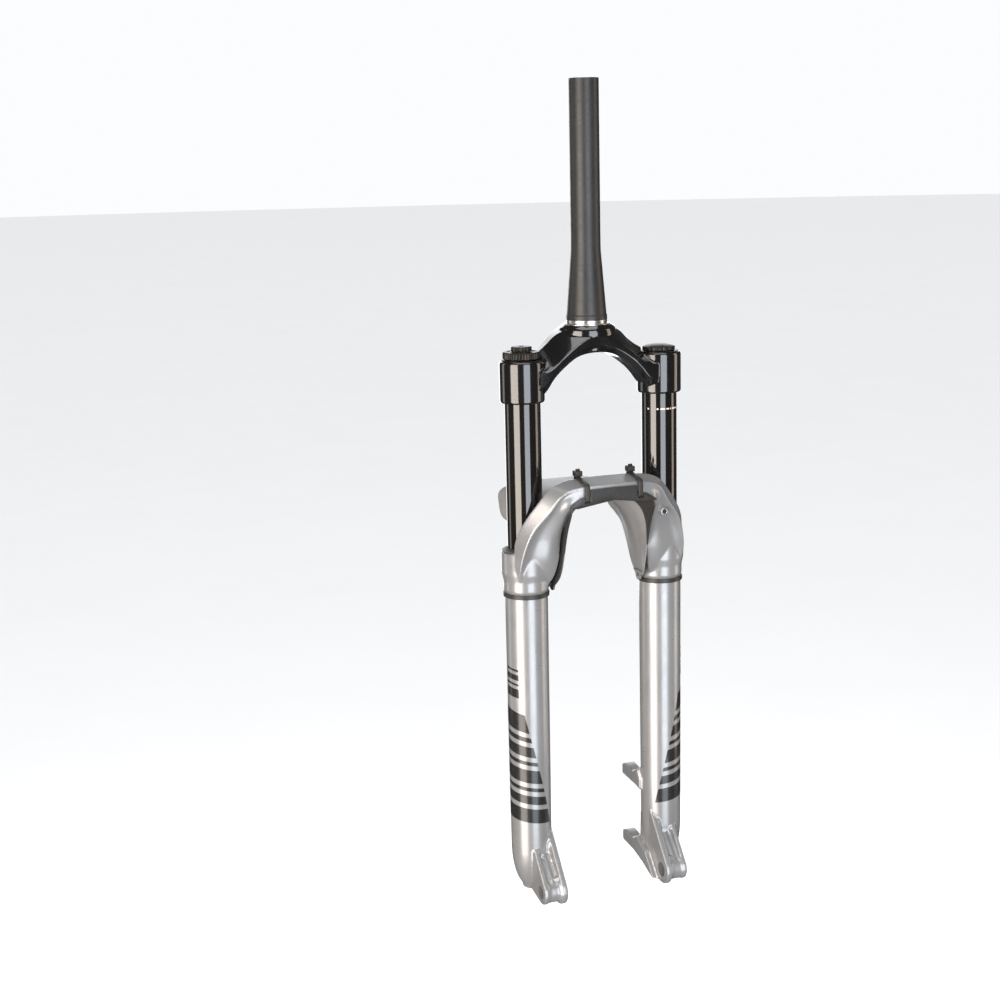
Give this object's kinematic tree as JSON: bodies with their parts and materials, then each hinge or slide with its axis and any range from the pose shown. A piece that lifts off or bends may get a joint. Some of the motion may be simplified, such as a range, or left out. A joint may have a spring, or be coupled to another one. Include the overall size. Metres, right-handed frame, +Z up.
{
  "type": "suspension fork",
  "caption": "Single-crown bicycle suspension fork with a tapered steerer, sliding cast lower legs joined by a front arch, a tied-on fender and post brake bosses.",
  "frame": {"origin": "on the steerer axis, in the plane that the crown race sits on", "axes": "+Z up along the steerer, -Y to the front of the bicycle, -X to its drive side and +X to its disc-brake side"},
  "size_m": [0.194, 0.1576, 0.8056],
  "materials": {
    "steerer_alloy": "satin anodised black",
    "crown_gloss": "gloss black",
    "stanchion_black": "polished black anodised",
    "cast_silver": "gloss silver paint",
    "black_anodised": "satin anodised",
    "bare_alloy": "machined",
    "steel": "ground",
    "spring_steel": "phosphated",
    "brass": "turned",
    "seal_rubber": "matte",
    "foam": "open-cell foam",
    "fender_plastic": "satin grey-black",
    "tie_nylon": "satin nylon",
    "bushing_liner": "PTFE-lined",
    "spacer_plastic": "moulded"
  },
  "bodies": {
    "upper_assembly": {"steerer_tube": "steerer_alloy", "crown": "crown_gloss", "stanchion_drive": "stanchion_black", "stanchion_disc": "stanchion_black", "damper_top_cap": "black_anodised", "top_cap_o_rings": "seal_rubber", "compression_valve": "bare_alloy", "damper_bladder": "seal_rubber", "damper_cartridge": "bare_alloy", "damper_seal_head": "bare_alloy", "air_top_cap": "black_anodised", "valve_core": "brass", "volume_spacers": "spacer_plastic", "air_seal_head": "bare_alloy", "air_snap_ring": "spring_steel"},
    "high_speed_dial": {"high_speed_dial": "black_anodised"},
    "low_speed_knob": {"low_speed_knob": "black_anodised", "low_speed_needle": "steel"},
    "air_valve_cap": {"air_valve_cap": "black_anodised"},
    "valve_pin": {"valve_pin": "brass"},
    "lower_legs": {"lower_casting": "cast_silver", "wiper_seal_drive": "seal_rubber", "wiper_seal_disc": "seal_rubber", "foam_rings": "foam", "upper_bushings": "bushing_liner", "lower_bushings": "bushing_liner", "damper_shaft": "steel", "rebound_piston": "bare_alloy", "air_shaft": "bare_alloy", "air_piston": "bare_alloy", "piston_ring": "seal_rubber", "top_out_bumper": "seal_rubber", "bottom_out_bumper": "seal_rubber", "foot_bolt_drive": "bare_alloy", "foot_bolt_disc": "bare_alloy", "crush_washers": "bare_alloy", "fender": "fender_plastic", "arch_tie_drive": "tie_nylon", "arch_tie_disc": "tie_nylon", "leg_tie_drive": "tie_nylon", "leg_tie_disc": "tie_nylon"},
    "rebound_adjuster": {"rebound_adjuster": "bare_alloy"}
  },
  "joints": [
    {"name": "fork_travel", "type": "slide", "parent": "upper_assembly", "child": "lower_legs", "axis": [0, 0, 1], "range_m": [0, 0.14], "stiffness_N_per_m": 5500, "springref_m": -0.02},
    {"name": "high_speed_compression", "type": "hinge", "parent": "upper_assembly", "child": "high_speed_dial", "pos_m": [-0.073, -0.0095, -0.026], "axis": [0, 0, 1], "range_deg": [-75, 75]},
    {"name": "low_speed_compression", "type": "hinge", "parent": "upper_assembly", "child": "low_speed_knob", "pos_m": [-0.073, -0.0095, -0.02], "axis": [0, 0, 1], "range_deg": [-170, 170]},
    {"name": "air_cap_turn", "type": "hinge", "parent": "upper_assembly", "child": "air_valve_cap", "pos_m": [0.073, -0.0095, -0.027], "axis": [0, 0, 1], "range_deg": [0, 1080]},
    {"name": "valve_pin_press", "type": "slide", "parent": "upper_assembly", "child": "valve_pin", "axis": [0, 0, -1], "range_m": [0, 0.0012], "stiffness_N_per_m": 800, "springref_m": -0.001},
    {"name": "rebound_adjust", "type": "hinge", "parent": "lower_legs", "child": "rebound_adjuster", "pos_m": [-0.073, -0.0095, -0.55], "axis": [0, 0, 1], "range_deg": [-170, 170]}
  ]
}
